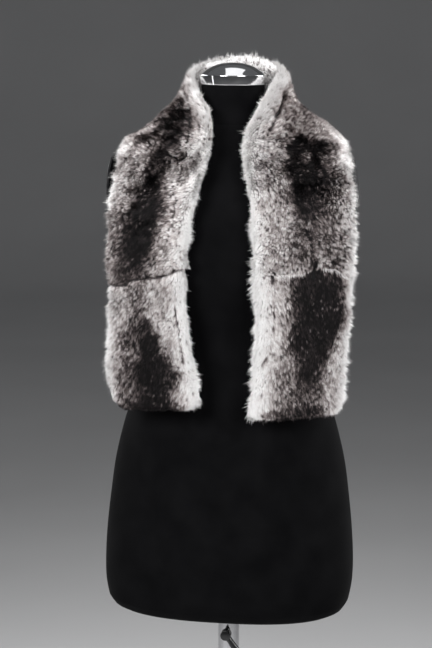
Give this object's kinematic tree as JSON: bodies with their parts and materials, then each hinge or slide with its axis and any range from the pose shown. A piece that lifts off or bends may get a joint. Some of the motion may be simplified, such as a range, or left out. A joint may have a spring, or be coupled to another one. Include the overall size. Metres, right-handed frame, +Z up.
{
  "type": "fur scarf on a dress form",
  "caption": "Thick fur scarf of pelts sewn end to end, draped round the neck and over the shoulders of a limbless dress form on a round-based pole.",
  "frame": {"origin": "centre of the base plate's flat underside, on the pole's axis", "axes": "+Z up, the form faces -Y, +X is the viewer's right seen from the front"},
  "size_m": [0.3541, 0.32, 1.4673],
  "materials": {
    "fur": "dense soft fur, pale tips over slate underfur with dark back stripes",
    "jersey": "matt black knitted jersey stretched over the form",
    "chrome": "polished",
    "base_steel": "satin",
    "black_plastic": "semi-gloss"
  },
  "bodies": {
    "stand": {"base_plate": "base_steel", "base_hub": "chrome", "outer_tube": "chrome", "clamp_seat": "chrome"},
    "lever": {"clamp_lever": "black_plastic"},
    "pole": {"inner_pole": "chrome"},
    "torso": {"form_body": "jersey", "neck_cap": "chrome", "armhole_cap_left": "black_plastic", "armhole_cap_right": "black_plastic", "socket_flange": "chrome", "pelt_left_end": "fur", "pelt_left_chest": "fur", "pelt_left_shoulder": "fur", "pelt_nape": "fur", "pelt_right_shoulder": "fur", "pelt_right_chest": "fur", "pelt_right_end": "fur"}
  },
  "joints": [
    {"name": "height_slide", "type": "slide", "parent": "stand", "child": "pole", "axis": [0, 0, 1], "range_m": [0, 0.28]},
    {"name": "torso_swivel", "type": "hinge", "parent": "pole", "child": "torso", "pos_m": [0, 0, 0.82], "axis": [0, 0, 1], "continuous": true},
    {"name": "lever_turn", "type": "hinge", "parent": "stand", "child": "lever", "pos_m": [0, -0.0206, 0.656], "axis": [0, 1, 0], "range_deg": [0, 90]}
  ]
}
